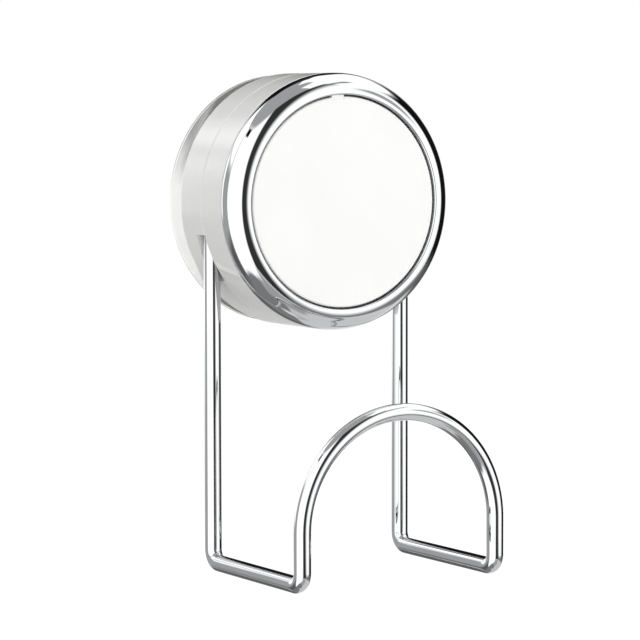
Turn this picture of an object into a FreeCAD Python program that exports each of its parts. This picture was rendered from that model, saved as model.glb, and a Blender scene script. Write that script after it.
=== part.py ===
"""Twist-lock suction cup hook: a round housing on a soft cup, a turning knob and a bent wire hook.

The frame has X to the right, Y into the wall and Z up. The wall's face is y = 0 and the cup's axis
is the Y axis, so every depth below is measured forward from the wall, towards -Y. All sizes are in
millimetres. Turning the knob clockwise, as seen from the front, draws the stud and the middle of
the cup forward.
"""
import FreeCAD, Part
import math
import os

import Sketcher

SIZES = {
    # housing
    "housing_dia": 61.2,
    "housing_wall": 2.4,
    "rear_housing_depth": 10.5,
    "front_housing_depth": 9.5,
    "bulkhead_set_back": 1.0,
    "bulkhead_thick": 2.5,
    "front_plate_thick": 2.5,
    "rim_round": 0.8,
    "parting_round": 0.3,
    "rib_thick": 1.6,
    "rib_depth": 2.5,
    "rib_boss_gap": 4.0,
    # suction cup
    "cup_stand_off": 6.0,
    "cup_inset": 0.4,
    "cup_lip_thick": 0.9,
    "cup_lip_reach": 0.6,
    "cup_flare_radius": 14.0,
    "cup_land": 2.2,
    "cup_hollow": 1.6,
    "cup_pad_width": 4.4,
    "cup_web_thick": 2.2,
    "cup_floor_thick": 1.65,
    "cup_boss_wall": 2.35,
    "cup_boss_gap": 1.0,
    # stud and its thread
    "stud_dia": 8.0,
    "stud_flat_depth": 0.8,
    "stud_flange_reach": 2.5,
    "stud_flange_thick": 1.6,
    "stud_chamfer": 0.6,
    "stud_grip_gap": 0.15,
    "stud_end_gap": 1.0,
    "guide_gap": 0.15,
    "thread_gap": 0.1,
    "thread_lead": 4.0,
    "knob_turn": 270.0,
    # knob
    "turning_gap": 0.3,
    "knob_depth": 5.6,
    "knob_wall": 2.0,
    "knob_floor_thick": 1.5,
    "knob_land": 0.9,
    "ring_width": 5.15,
    "ring_land": 0.45,
    "ring_round": 4.7,
    "lip_round": 0.2,
    "disc_thick": 1.6,
    "disc_gap": 0.45,
    "disc_recess": 0.4,
    "disc_round": 0.3,
    "disc_peg_dia": 2.4,
    "disc_peg_circle": 36.0,
    "disc_peg_gap": 0.1,
    "disc_peg_short": 0.2,
    "disc_key_angle": 7.5,
    "disc_key_turn": 3.8,
    "disc_key_land": 0.6,
    "disc_key_step": 0.25,
    "disc_key_gap": 0.05,
    # washer, drive nut and the knob's stop
    "washer_thick": 1.0,
    "washer_gap": 1.0,
    "nut_end_gap": 0.1,
    "nut_flange_thick": 3.0,
    "nut_flange_reach": 3.15,
    "nut_core_wall": 1.0,
    "nut_outer_wall": 1.55,
    "nut_flat_depth": 1.15,
    "nut_cap_thick": 1.9,
    "nut_fit": 0.08,
    "nut_play": 0.3,
    "sleeve_wall": 2.0,
    "stop_lug_angle": 18.0,
    "stop_lug_reach": 2.6,
    "stop_gap": 0.4,
    "stop_slack_angle": 1.0,
    # screws
    "screw_dia": 2.9,
    "screw_head_dia": 5.4,
    "screw_head_depth": 1.9,
    "screw_length": 9.0,
    "screw_gap": 0.1,
    "screw_boss_dia": 6.6,
    "screw_boss_gap": 2.1,
    "knob_screw_dia": 2.0,
    "knob_screw_head_dia": 3.6,
    "knob_screw_length": 5.0,
    "knob_screw_gap": 0.1,
    # wire hook
    "wire_dia": 4.0,
    "wire_inset": 4.15,
    "wire_bend_radius": 3.2,
    "arm_length": 41.8,
    "hook_drop": 86.1,
    "upright_height": 11.95,
    "wire_gap": 0.1,
    "wire_side_gap": 0.3,
    "wire_back_gap": 0.2,
    "notch_top": 7.7,
    "channel_wall": 1.8,
    "channel_floor": 1.6,
    "channel_inside_gap": 0.55,
}

HOUSING_SCREW_COUNT = 4
KNOB_SCREW_COUNT = 3
DISC_PEG_COUNT = 3
RIB_COUNT = 6
FULL_ANGLE = 360
TOP_ANGLE = 90
HOUSING_SCREW_ANGLE = 45
SHEET = "Sizes"

doc = FreeCAD.newDocument("suction_cup_hook")


class Size:
    """A number of the model together with the sheet expression that gives it."""

    def __init__(self, value, text):
        self.value = float(value)
        self.text = text

    def __add__(self, other):
        other = as_size(other)
        return Size(self.value + other.value, "(%s + %s)" % (self.text, other.text))

    def __sub__(self, other):
        other = as_size(other)
        return Size(self.value - other.value, "(%s - %s)" % (self.text, other.text))

    def __mul__(self, other):
        other = as_size(other)
        return Size(self.value * other.value, "(%s * %s)" % (self.text, other.text))

    def __truediv__(self, other):
        other = as_size(other)
        return Size(self.value / other.value, "(%s / %s)" % (self.text, other.text))

    def __neg__(self):
        return Size(-self.value, "(0 - %s)" % self.text)


def as_size(item):
    """A Size as it is, and a plain number as a Size with no cell."""
    return item if isinstance(item, Size) else Size(item, repr(float(item)))


def root(size):
    """The square root of a Size."""
    return Size(math.sqrt(size.value), "sqrt(%s)" % size.text)


def sine(angle):
    """The sine of a Size in degrees."""
    return Size(math.sin(math.radians(angle.value)), "sin(%s * 1 deg)" % angle.text)


def cosine(angle):
    """The cosine of a Size in degrees."""
    return Size(math.cos(math.radians(angle.value)), "cos(%s * 1 deg)" % angle.text)


def write_sheet(sizes):
    """Put each size in a cell of its own and return the sizes by name, bound to the cells."""
    sheet = doc.addObject("Spreadsheet::Sheet", SHEET)
    for row, (name, value) in enumerate(sizes.items(), start=1):
        sheet.set("A%d" % row, name)
        sheet.set("B%d" % row, str(value))
        sheet.setAlias("B%d" % row, name)
    doc.recompute()
    return {name: Size(value, "%s.%s" % (SHEET, name)) for name, value in sizes.items()}


size = write_sheet(SIZES)
ZERO = Size(0, "0")

# radii and depths from the wall that several pieces share
housing_radius = size["housing_dia"] / 2
inner_radius = housing_radius - size["housing_wall"]
parting_depth = size["cup_stand_off"] + size["rear_housing_depth"]
bulkhead_front = parting_depth - size["bulkhead_set_back"]
bulkhead_rear = bulkhead_front - size["bulkhead_thick"]
front_depth = parting_depth + size["front_housing_depth"]
plate_rear = front_depth - size["front_plate_thick"]

# the knob and its disc
knob_rear = front_depth + size["turning_gap"]
knob_front = knob_rear + size["knob_depth"]
disc_front = knob_front - size["disc_recess"]
disc_seat = disc_front - size["disc_thick"]
floor_rear = disc_seat - size["knob_floor_thick"]
lip_radius = housing_radius - size["ring_width"]
disc_radius = lip_radius - size["disc_gap"]

# the nut, from its bore outwards
stud_radius = size["stud_dia"] / 2
nut_bore = stud_radius + size["thread_gap"]
knob_screw_hole = size["knob_screw_dia"] / 2 + size["knob_screw_gap"]
knob_screw_place = nut_bore + size["nut_core_wall"] + knob_screw_hole
neck_radius = knob_screw_place + knob_screw_hole + size["nut_outer_wall"]
flange_radius = neck_radius + size["nut_flange_reach"]
spigot_half = neck_radius - size["nut_flat_depth"]
stop_radius = flange_radius + size["stop_lug_reach"]
spare_turn = as_size(FULL_ANGLE) - size["knob_turn"]
washer_front = bulkhead_front + size["washer_thick"]
nut_rear = washer_front + size["nut_end_gap"]
nut_shoulder = nut_rear + size["nut_flange_thick"]

# the stud, which the knob's turn draws forward
draw_length = size["thread_lead"] * size["knob_turn"] / FULL_ANGLE
bore_end = floor_rear - size["nut_cap_thick"]
stud_tip = bore_end - draw_length - size["stud_end_gap"]
stud_rear = size["cup_hollow"] + size["cup_floor_thick"] + size["stud_grip_gap"]
stud_flange_front = stud_rear + size["stud_flange_thick"]
stud_flange_radius = stud_radius + size["stud_flange_reach"]
cup_boss_radius = stud_flange_radius + size["stud_grip_gap"] + size["cup_boss_wall"]

# the screws through the housing
screw_hole_radius = size["screw_dia"] / 2 + size["screw_gap"]
screw_circle = stop_radius + size["screw_boss_gap"] + size["screw_boss_dia"] / 2
screw_x = screw_circle * cosine(as_size(HOUSING_SCREW_ANGLE))
screw_z = screw_circle * sine(as_size(HOUSING_SCREW_ANGLE))

# the wire
wire_radius = size["wire_dia"] / 2
wire_x = housing_radius - size["wire_inset"]
wire_depth = parting_depth - size["wire_gap"] - wire_radius
channel_end = stop_radius + size["channel_inside_gap"] + size["channel_wall"]
peg_end = channel_end + size["wire_side_gap"]
upright_depth = wire_depth + size["arm_length"]
arch_height = size["upright_height"] - size["hook_drop"]


def new_body(name):
    """A body with the node's name as its label, in the part's own frame."""
    body = doc.addObject("PartDesign::Body", name)
    body.Label = name
    body.Placement = FreeCAD.Placement()
    return body


def origin_item(body, role):
    """The body's own origin plane or axis with this role."""
    return [item for item in body.Origin.OriginFeatures if item.Role == role][0]


def new_sketch(body, name, role, offset=None, aside=None):
    """A sketch on one of the body's origin planes, moved by offset along its normal and aside."""
    sketch = body.newObject("Sketcher::SketchObject", name)
    sketch.AttachmentSupport = [(origin_item(body, role), "")]
    sketch.MapMode = "FlatFace"
    if offset is not None:
        sketch.setExpression("AttachmentOffset.Base.z", offset.text)
    if aside is not None:
        sketch.setExpression("AttachmentOffset.Base.x", aside.text)
    return sketch


def pin_value(rules, kind, geometry, point, amount):
    """Hold a point at a distance from the sketch's origin along one axis."""
    if abs(amount.value) < 1e-9:
        axis = -2 if kind == "DistanceX" else -1
        rules.append((Sketcher.Constraint("PointOnObject", geometry, point, axis), None))
    else:
        rules.append((Sketcher.Constraint(kind, -1, 1, geometry, point, amount.value), amount))


def pin_point(rules, geometry, point, x, y):
    """Hold a point of the sketch at the place that two Sizes give."""
    pin_value(rules, "DistanceX", geometry, point, as_size(x))
    pin_value(rules, "DistanceY", geometry, point, as_size(y))


def apply_rules(sketch, rules):
    """Add the constraints together and bind each one that carries a Size to its expression."""
    places = sketch.addConstraint([rule for rule, amount in rules])
    for place, (rule, amount) in zip(places, rules):
        if amount is not None:
            sketch.setExpression("Constraints[%d]" % place, amount.text)


def arc_between(start, end, radius):
    """An anticlockwise arc of this radius; a positive one has its centre left of start to end."""
    middle = (start + end) * 0.5
    chord = end - start
    left = FreeCAD.Vector(-chord.y, chord.x, 0).normalize()
    rise = math.sqrt(max(radius * radius - chord.Length * chord.Length / 4, 0))
    centre = middle + left * math.copysign(rise, radius)
    circle = Part.Circle(centre, FreeCAD.Vector(0, 0, 1), abs(radius))
    first, last = (start, end) if radius > 0 else (end, start)
    return Part.ArcOfCircle(circle, math.atan2(first.y - centre.y, first.x - centre.x),
                            math.atan2(last.y - centre.y, last.x - centre.x))


def draw_outline(sketch, corners, closed=True):
    """Draw corners (x, y) joined by lines; a third item is the radius of the arc that follows."""
    places = [FreeCAD.Vector(as_size(c[0]).value, as_size(c[1]).value, 0) for c in corners]
    count = len(corners) if closed else len(corners) - 1
    rules, ends = [], []
    for index in range(count):
        start, end = places[index], places[(index + 1) % len(corners)]
        if len(corners[index]) == 3:
            bend = corners[index][2]
            geometry = sketch.addGeometry(arc_between(start, end, bend.value), False)
            first, last = (1, 2) if bend.value > 0 else (2, 1)
            radius = bend if bend.value > 0 else -bend
            rules.append((Sketcher.Constraint("Radius", geometry, radius.value), radius))
        else:
            geometry = sketch.addGeometry(Part.LineSegment(start, end), False)
            first, last = 1, 2
        ends.append((geometry, first, last))
    for index, (geometry, first, last) in enumerate(ends):
        pin_point(rules, geometry, first, corners[index][0], corners[index][1])
        if index + 1 < len(ends) or closed:
            after = ends[(index + 1) % len(ends)]
            rules.append((Sketcher.Constraint("Coincident", geometry, last, after[0], after[1]), None))
        else:
            pin_point(rules, geometry, last, corners[-1][0], corners[-1][1])
    apply_rules(sketch, rules)


def draw_circle(sketch, x, y, radius):
    """Draw a circle with its centre and radius given as Sizes."""
    centre = FreeCAD.Vector(as_size(x).value, as_size(y).value, 0)
    geometry = sketch.addGeometry(Part.Circle(centre, FreeCAD.Vector(0, 0, 1), radius.value), False)
    rules = [(Sketcher.Constraint("Radius", geometry, radius.value), radius)]
    pin_point(rules, geometry, 3, x, y)
    apply_rules(sketch, rules)


def box_corners(x_low, x_high, y_low, y_high):
    """The four corners of a rectangle, anticlockwise."""
    return [(x_low, y_low), (x_high, y_low), (x_high, y_high), (x_low, y_high)]


def turned(body, name, corners, kind="PartDesign::Revolution", place=(None, None)):
    """Turn an outline of (radius, depth) corners round the cup's axis, or one at place (x, z)."""
    sketch = new_sketch(body, name + "_outline", "XY_Plane", place[1], place[0])
    draw_outline(sketch, [(c[0], -as_size(c[1])) + tuple(-r for r in c[2:]) for c in corners])
    feature = body.newObject(kind, name)
    feature.Profile = sketch
    feature.ReferenceAxis = (sketch, ["V_Axis"])
    feature.Angle = FULL_ANGLE
    doc.recompute()
    return feature


def raised(body, name, draw, depth, length):
    """Pad a front-view sketch from depth towards the front by length."""
    sketch = new_sketch(body, name + "_outline", "XZ_Plane", depth)
    draw(sketch)
    feature = body.newObject("PartDesign::Pad", name)
    feature.Profile = sketch
    feature.setExpression("Length", length.text)
    doc.recompute()
    return feature


def sunk(body, name, draw, depth, length):
    """Cut a front-view sketch from depth towards the wall by length, and check that it cut."""
    before = body.Shape.Volume
    sketch = new_sketch(body, name + "_outline", "XZ_Plane", depth)
    draw(sketch)
    feature = body.newObject("PartDesign::Pocket", name)
    feature.Profile = sketch
    feature.setExpression("Length", length.text)
    doc.recompute()
    if body.Shape.Volume > before - 1e-6:
        raise RuntimeError("%s cut nothing" % name)
    return feature


def around(body, name, features, count):
    """Repeat features in equal steps round the cup's axis."""
    pattern = body.newObject("PartDesign::PolarPattern", name)
    pattern.Originals = features
    pattern.Axis = (origin_item(body, "Y_Axis"), [""])
    pattern.Angle = FULL_ANGLE
    pattern.Occurrences = count
    body.Tip = pattern
    doc.recompute()
    return pattern


def both_sides(body, name, features):
    """Mirror features to the other side of the middle plane."""
    pattern = body.newObject("PartDesign::Mirrored", name)
    pattern.Originals = features
    pattern.MirrorPlane = (origin_item(body, "YZ_Plane"), [""])
    body.Tip = pattern
    doc.recompute()
    return pattern


def ring_edges(shape, radius, depth):
    """Names of the circular edges of this radius at this depth, centred on the cup's axis."""
    names = []
    for index, edge in enumerate(shape.Edges, start=1):
        curve = edge.Curve
        if not isinstance(curve, Part.Circle):
            continue
        centre = curve.Center
        level = abs(centre.y + depth.value) < 1e-4 and abs(centre.x) < 1e-4 and abs(centre.z) < 1e-4
        if level and abs(curve.Radius - radius.value) < 1e-4:
            names.append("Edge%d" % index)
    return names


def rounded(body, name, rings, radius):
    """Fillet the circular edges given as (radius, depth) pairs."""
    base = body.Tip
    edges = [edge for ring in rings for edge in ring_edges(base.Shape, *ring)]
    if not edges:
        raise RuntimeError("%s found no edge" % name)
    fillet = body.newObject("PartDesign::Fillet", name)
    fillet.Base = (base, edges)
    fillet.setExpression("Radius", radius.text)
    doc.recompute()
    return fillet


def make_suction_cup():
    """The soft cup: a flared lip, a pad under the housing's rim, a thin web and a boss on the stud."""
    body = new_body("suction_cup")
    lip = housing_radius - size["cup_inset"]
    lip_edge = lip - size["cup_lip_thick"] / 4
    land_inner = lip - size["cup_land"]
    pad_outer = lip - size["cup_lip_reach"]
    pad_inner = pad_outer - size["cup_pad_width"]
    web_front = size["cup_hollow"] + size["cup_web_thick"]
    boss_front = bulkhead_rear - draw_length - size["cup_boss_gap"]
    pocket_radius = stud_flange_radius + size["stud_grip_gap"]
    shank_radius = stud_radius + size["stud_grip_gap"]
    pocket_rear = stud_rear - size["stud_grip_gap"]
    pocket_front = stud_flange_front + size["stud_grip_gap"]
    turned(body, "cup_form", [
        (ZERO, size["cup_hollow"]),
        (land_inner - size["cup_pad_width"], size["cup_hollow"] / 2),
        (land_inner, ZERO),
        (lip_edge, ZERO),
        (lip, size["cup_lip_thick"] / 2),
        (lip_edge, size["cup_lip_thick"], -size["cup_flare_radius"]),
        (pad_outer, size["cup_stand_off"]),
        (pad_inner, size["cup_stand_off"]),
        (pad_inner - size["cup_web_thick"], web_front),
        (cup_boss_radius + size["cup_web_thick"], web_front),
        (cup_boss_radius, web_front + size["cup_web_thick"]),
        (cup_boss_radius, boss_front),
        (shank_radius, boss_front),
        (shank_radius, pocket_front),
        (pocket_radius, pocket_front),
        (pocket_radius, pocket_rear),
        (ZERO, pocket_rear),
    ])
    return body


def make_cup_stud():
    """The stud that is moulded into the cup: an anchor flange and a shank with two flats."""
    body = new_body("cup_stud")
    turned(body, "stud_form", [
        (ZERO, stud_rear),
        (stud_flange_radius, stud_rear),
        (stud_flange_radius, stud_flange_front),
        (stud_radius, stud_flange_front),
        (stud_radius, stud_tip - size["stud_chamfer"]),
        (stud_radius - size["stud_chamfer"], stud_tip),
        (ZERO, stud_tip),
    ])

    def flat_side(sketch):
        draw_outline(sketch, box_corners(stud_radius - size["stud_flat_depth"], size["stud_dia"],
                                         -size["stud_dia"], size["stud_dia"]))

    side = sunk(body, "right_flat", flat_side, stud_tip, stud_tip - stud_flange_front)
    both_sides(body, "two_flats", [side])
    return body


def double_flat(radius, half_width):
    """The corners of a round with two upright flats, with its arcs at the top and bottom."""
    rise = root(radius * radius - half_width * half_width)
    return [
        (half_width, -rise),
        (half_width, rise, radius),
        (-half_width, rise),
        (-half_width, -rise, radius),
    ]


def sector(inner, outer, middle, half_angle):
    """The corners of a ring's sector about the cup's axis, between two radii and two directions."""
    low, high = middle - half_angle, middle + half_angle
    return [
        (inner * cosine(low), inner * sine(low)),
        (outer * cosine(low), outer * sine(low), outer),
        (outer * cosine(high), outer * sine(high)),
        (inner * cosine(high), inner * sine(high), -inner),
    ]


def make_rear_housing():
    """The rear half: wall, bulkhead with the stud's guide, ribs, and a channel for each wire end."""
    body = new_body("rear_housing")
    turned(body, "shell", [
        (ZERO, bulkhead_rear),
        (inner_radius, bulkhead_rear),
        (inner_radius, size["cup_stand_off"]),
        (housing_radius, size["cup_stand_off"]),
        (housing_radius, parting_depth),
        (inner_radius, parting_depth),
        (inner_radius, bulkhead_front),
        (ZERO, bulkhead_front),
    ])
    bend = size["wire_bend_radius"]
    channel_rear = wire_depth - wire_radius - size["wire_back_gap"]
    channel_half = wire_radius + size["wire_side_gap"]
    block_rear = channel_rear - size["channel_floor"]
    block_half = channel_half + size["channel_wall"]

    def block(sketch):
        draw_outline(sketch, [
            (wire_x - block_half, -housing_radius),
            (housing_radius, -housing_radius),
            (housing_radius, block_half),
            (channel_end - size["channel_wall"], block_half),
            (channel_end - size["channel_wall"], -block_half),
            (wire_x - block_half, -block_half),
        ])

    right_block = raised(body, "channel_block", block, block_rear, parting_depth - block_rear)
    both_sides(body, "channel_blocks", [right_block])
    turned(body, "outside_trim", [
        (housing_radius, ZERO),
        (size["housing_dia"], ZERO),
        (size["housing_dia"], front_depth),
        (housing_radius, front_depth),
    ], "PartDesign::Groove")

    def bore(sketch):
        flat_half = stud_radius - size["stud_flat_depth"] + size["guide_gap"]
        draw_outline(sketch, double_flat(stud_radius + size["guide_gap"], flat_half))

    sunk(body, "stud_guide", bore, bulkhead_front, size["bulkhead_thick"])

    def screw_hole(sketch):
        draw_circle(sketch, screw_x, screw_z, screw_hole_radius)

    hole = sunk(body, "screw_hole", screw_hole, bulkhead_front, size["bulkhead_thick"])
    around(body, "screw_holes", [hole], HOUSING_SCREW_COUNT)

    def rib(sketch):
        draw_outline(sketch, box_corners(cup_boss_radius + size["rib_boss_gap"], inner_radius,
                                         -size["rib_thick"] / 2, size["rib_thick"] / 2))

    first_rib = raised(body, "rib", rib, bulkhead_rear - size["rib_depth"], size["rib_depth"])
    around(body, "ribs", [first_rib], RIB_COUNT)
    rounded(body, "rear_rim_round", [(housing_radius, size["cup_stand_off"])], size["rim_round"])
    rounded(body, "parting_edge_round", [(housing_radius, parting_depth)], size["parting_round"])

    def channel(sketch):
        draw_outline(sketch, [
            (wire_x - channel_half, -housing_radius),
            (wire_x + channel_half, -housing_radius),
            (wire_x + channel_half, channel_half),
            (channel_end, channel_half),
            (channel_end, -channel_half),
            (wire_x - bend, -channel_half, -(bend - channel_half)),
            (wire_x - channel_half, -bend),
        ])

    depth = parting_depth - channel_rear
    right_channel = sunk(body, "wire_channel", channel, parting_depth, depth)

    def notch(sketch):
        draw_outline(sketch, box_corners(wire_x, housing_radius, -housing_radius, -size["notch_top"]))

    right_notch = sunk(body, "side_notch", notch, parting_depth, depth)
    both_sides(body, "wire_channels", [right_channel, right_notch])
    return body


def make_front_housing():
    """The front half: wall, front plate, the nut's bearing sleeve, screw bosses and the knob's stop."""
    body = new_body("front_housing")
    bore_radius = neck_radius + size["nut_fit"]
    sleeve_rear = nut_shoulder + size["nut_play"]
    sleeve_radius = bore_radius + size["sleeve_wall"]
    turned(body, "shell", [
        (bore_radius, front_depth),
        (bore_radius, sleeve_rear),
        (sleeve_radius, sleeve_rear),
        (sleeve_radius, plate_rear),
        (inner_radius, plate_rear),
        (inner_radius, parting_depth),
        (housing_radius, parting_depth),
        (housing_radius, front_depth),
    ])

    def boss(sketch):
        draw_circle(sketch, screw_x, screw_z, size["screw_boss_dia"] / 2)

    post = raised(body, "screw_boss", boss, bulkhead_front, plate_rear - bulkhead_front)
    around(body, "screw_bosses", [post], HOUSING_SCREW_COUNT)

    def pilot(sketch):
        draw_circle(sketch, screw_x, screw_z, screw_hole_radius)

    pilot_length = size["screw_length"] - size["bulkhead_thick"] + size["screw_gap"]
    hole = sunk(body, "screw_pilot", pilot, bulkhead_front + pilot_length, pilot_length)
    around(body, "screw_pilots", [hole], HOUSING_SCREW_COUNT)
    stop_half = (spare_turn - size["stop_lug_angle"]) / 2 - size["stop_slack_angle"]

    def stop(sketch):
        draw_outline(sketch, sector(flange_radius + size["stop_gap"], stop_radius, as_size(TOP_ANGLE), stop_half))

    raised(body, "knob_stop", stop, nut_rear, plate_rear - nut_rear)
    rounded(body, "edge_rounds", [(housing_radius, parting_depth), (housing_radius, front_depth)],
            size["parting_round"])
    return body


def make_thrust_washer():
    """The washer that carries the nut on the bulkhead."""
    body = new_body("thrust_washer")
    washer_bore = stud_radius + size["washer_gap"]
    turned(body, "washer_form", [
        (washer_bore, bulkhead_front),
        (flange_radius, bulkhead_front),
        (flange_radius, washer_front),
        (washer_bore, washer_front),
    ])
    return body


def make_drive_nut():
    """The nut: a flange with the stop's lug, a neck in the sleeve, a flatted spigot and a blind bore."""
    body = new_body("drive_nut")
    turned(body, "nut_form", [
        (nut_bore, nut_rear),
        (flange_radius, nut_rear),
        (flange_radius, nut_shoulder),
        (neck_radius, nut_shoulder),
        (neck_radius, floor_rear),
        (ZERO, floor_rear),
        (ZERO, bore_end),
        (nut_bore, bore_end),
    ])

    def lug(sketch):
        draw_outline(sketch, sector(flange_radius - size["stop_gap"], stop_radius,
                                    as_size(TOP_ANGLE) - spare_turn / 2, size["stop_lug_angle"] / 2))

    raised(body, "stop_lug", lug, nut_rear, size["nut_flange_thick"])

    def flat_side(sketch):
        draw_outline(sketch, box_corners(spigot_half, neck_radius * 2, -neck_radius, neck_radius))

    side = sunk(body, "right_flat", flat_side, floor_rear, floor_rear - knob_rear)
    both_sides(body, "two_flats", [side])

    def pilot(sketch):
        draw_circle(sketch, ZERO, knob_screw_place, knob_screw_hole)

    pilot_length = size["knob_screw_length"] - size["knob_floor_thick"] + size["knob_screw_gap"]
    hole = sunk(body, "screw_pilot", pilot, floor_rear, pilot_length)
    around(body, "screw_pilots", [hole], KNOB_SCREW_COUNT)
    return body


def make_knob_shell():
    """The knob: a domed ring round a recessed floor, with a flatted socket for the nut behind."""
    body = new_body("knob_shell")
    wall_inner = housing_radius - size["knob_wall"]
    socket_radius = neck_radius + size["nut_fit"]
    turned(body, "shell", [
        (ZERO, floor_rear),
        (wall_inner, floor_rear),
        (wall_inner, knob_rear),
        (housing_radius, knob_rear),
        (housing_radius, knob_rear + size["knob_land"], size["ring_round"]),
        (lip_radius + size["ring_land"], knob_front),
        (lip_radius, knob_front),
        (lip_radius, disc_seat),
        (ZERO, disc_seat),
    ])

    def boss(sketch):
        draw_circle(sketch, ZERO, ZERO, socket_radius + size["sleeve_wall"])

    raised(body, "socket_boss", boss, knob_rear, floor_rear - knob_rear)

    def socket(sketch):
        draw_outline(sketch, double_flat(socket_radius, spigot_half + size["nut_fit"]))

    sunk(body, "nut_socket", socket, floor_rear, floor_rear - knob_rear)

    def peg_hole(sketch):
        hole_radius = size["disc_peg_dia"] / 2 + size["disc_peg_gap"]
        draw_circle(sketch, ZERO, size["disc_peg_circle"] / 2, hole_radius)

    hole = sunk(body, "peg_hole", peg_hole, disc_seat, size["knob_floor_thick"])
    around(body, "peg_holes", [hole], DISC_PEG_COUNT)
    head = size["knob_screw_head_dia"] / 2 + size["knob_screw_gap"]
    countersink = turned(body, "countersink", [
        (ZERO, floor_rear),
        (knob_screw_hole, floor_rear),
        (knob_screw_hole, disc_seat - (head - knob_screw_hole)),
        (head, disc_seat),
        (ZERO, disc_seat),
    ], "PartDesign::Groove", (None, knob_screw_place))
    around(body, "countersinks", [countersink], KNOB_SCREW_COUNT)
    rounded(body, "lip_edge_round", [(lip_radius, knob_front)], size["lip_round"])
    rounded(body, "knob_rear_round", [(housing_radius, knob_rear)], size["parting_round"])
    return body


def make_face_disc():
    """The plain disc in the front of the knob, with pegs on its back and a key that fills its gap."""
    body = new_body("face_disc")
    turned(body, "disc_form", [
        (ZERO, disc_seat),
        (disc_radius, disc_seat),
        (disc_radius, disc_front),
        (ZERO, disc_front),
    ])
    rounded(body, "disc_edge_round", [(disc_radius, disc_front)], size["disc_round"])

    def key(sketch):
        draw_outline(sketch, sector(disc_radius - size["disc_key_land"], lip_radius - size["disc_key_gap"],
                                    as_size(TOP_ANGLE) + size["disc_key_turn"], size["disc_key_angle"] / 2))

    raised(body, "edge_key", key, disc_seat, size["disc_thick"] - size["disc_key_step"])
    sunk(body, "key_step", key, disc_front, size["disc_key_step"])

    def peg(sketch):
        draw_circle(sketch, ZERO, size["disc_peg_circle"] / 2, size["disc_peg_dia"] / 2)

    length = size["knob_floor_thick"] - size["disc_peg_short"]
    first_peg = raised(body, "peg", peg, disc_seat - length, length)
    around(body, "pegs", [first_peg], DISC_PEG_COUNT)
    return body


def make_knob_screws():
    """The countersunk screws that hold the knob's floor to the nut."""
    body = new_body("knob_screws")
    body.AllowCompound = True
    head = size["knob_screw_head_dia"] / 2
    shank = size["knob_screw_dia"] / 2
    tip = disc_seat - size["knob_screw_length"]
    screw = turned(body, "screw", [
        (ZERO, tip),
        (shank, tip + shank),
        (shank, disc_seat - (head - shank)),
        (head, disc_seat),
        (ZERO, disc_seat),
    ], place=(None, knob_screw_place))
    around(body, "screws", [screw], KNOB_SCREW_COUNT)
    return body


def make_housing_screws():
    """The round head screws that hold the two halves of the housing together."""
    body = new_body("housing_screws")
    body.AllowCompound = True
    head = size["screw_head_dia"] / 2
    shank = size["screw_dia"] / 2
    head_rear = bulkhead_rear - size["screw_head_depth"]
    tip = bulkhead_rear + size["screw_length"]
    screw = turned(body, "screw", [
        (ZERO, head_rear),
        (shank, head_rear),
        (head, bulkhead_rear - size["screw_head_depth"] / 2),
        (head, bulkhead_rear),
        (shank, bulkhead_rear),
        (shank, tip - shank),
        (ZERO, tip),
    ], place=(screw_x, screw_z))
    around(body, "screws", [screw], HOUSING_SCREW_COUNT)
    return body


def piped(body, name, role, offset, path, start_height):
    """Sweep the wire's round section along a path drawn on a plane, from a level start."""
    spine = new_sketch(body, name + "_path", role, offset)
    draw_outline(spine, path, closed=False)
    section = new_sketch(body, name + "_section", "XY_Plane", start_height)
    draw_circle(section, wire_x, -wire_depth, wire_radius)
    doc.recompute()
    pipe = body.newObject("PartDesign::AdditivePipe", name)
    pipe.Profile = section
    pipe.Spine = (spine, ["Edge%d" % (index + 1) for index in range(len(path) - 1)])
    doc.recompute()
    return pipe


def make_wire_hook():
    """The hook: one wire, bent from a peg in the housing down, forward, up and over in an arch."""
    body = new_body("wire_hook")
    bend = size["wire_bend_radius"]
    drop = size["hook_drop"]
    section = new_sketch(body, "arch_section", "XY_Plane", arch_height)
    draw_circle(section, wire_x, -upright_depth, wire_radius)
    arch = body.newObject("PartDesign::Revolution", "arch")
    arch.Profile = section
    arch.ReferenceAxis = (section, ["V_Axis"])
    arch.Angle = FULL_ANGLE / 2
    arch.Reversed = True
    doc.recompute()
    side = piped(body, "side", "YZ_Plane", wire_x, [
        (-wire_depth, -bend),
        (-wire_depth, bend - drop, -bend),
        (-wire_depth - bend, -drop),
        (bend - upright_depth, -drop, -bend),
        (-upright_depth, bend - drop),
        (-upright_depth, arch_height),
    ], -bend)
    peg = piped(body, "peg", "XZ_Plane", wire_depth, [
        (wire_x, -bend, bend),
        (wire_x - bend, ZERO),
        (peg_end, ZERO),
    ], -bend)
    both_sides(body, "other_side", [side, peg])
    return body


def check_document():
    """Stop if any object of the document failed to build."""
    for item in doc.Objects:
        if "Invalid" in item.State or "Error" in item.State:
            raise RuntimeError("%s failed: %s" % (item.Name, item.State))


def write_parts(bodies):
    """Check every sub-part's shape, then write each to a file named after its label."""
    for body in bodies:
        if body.Shape.isNull() or not body.Shape.isValid():
            raise RuntimeError("%s has no valid shape" % body.Label)
    os.makedirs("parts", exist_ok=True)
    for body in bodies:
        body.Shape.exportStep("parts/%s.step" % body.Label)


sub_parts = [
    make_suction_cup(),
    make_cup_stud(),
    make_rear_housing(),
    make_front_housing(),
    make_housing_screws(),
    make_wire_hook(),
    make_thrust_washer(),
    make_drive_nut(),
    make_knob_shell(),
    make_knob_screws(),
    make_face_disc(),
]
doc.recompute()
check_document()
write_parts(sub_parts)
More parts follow.
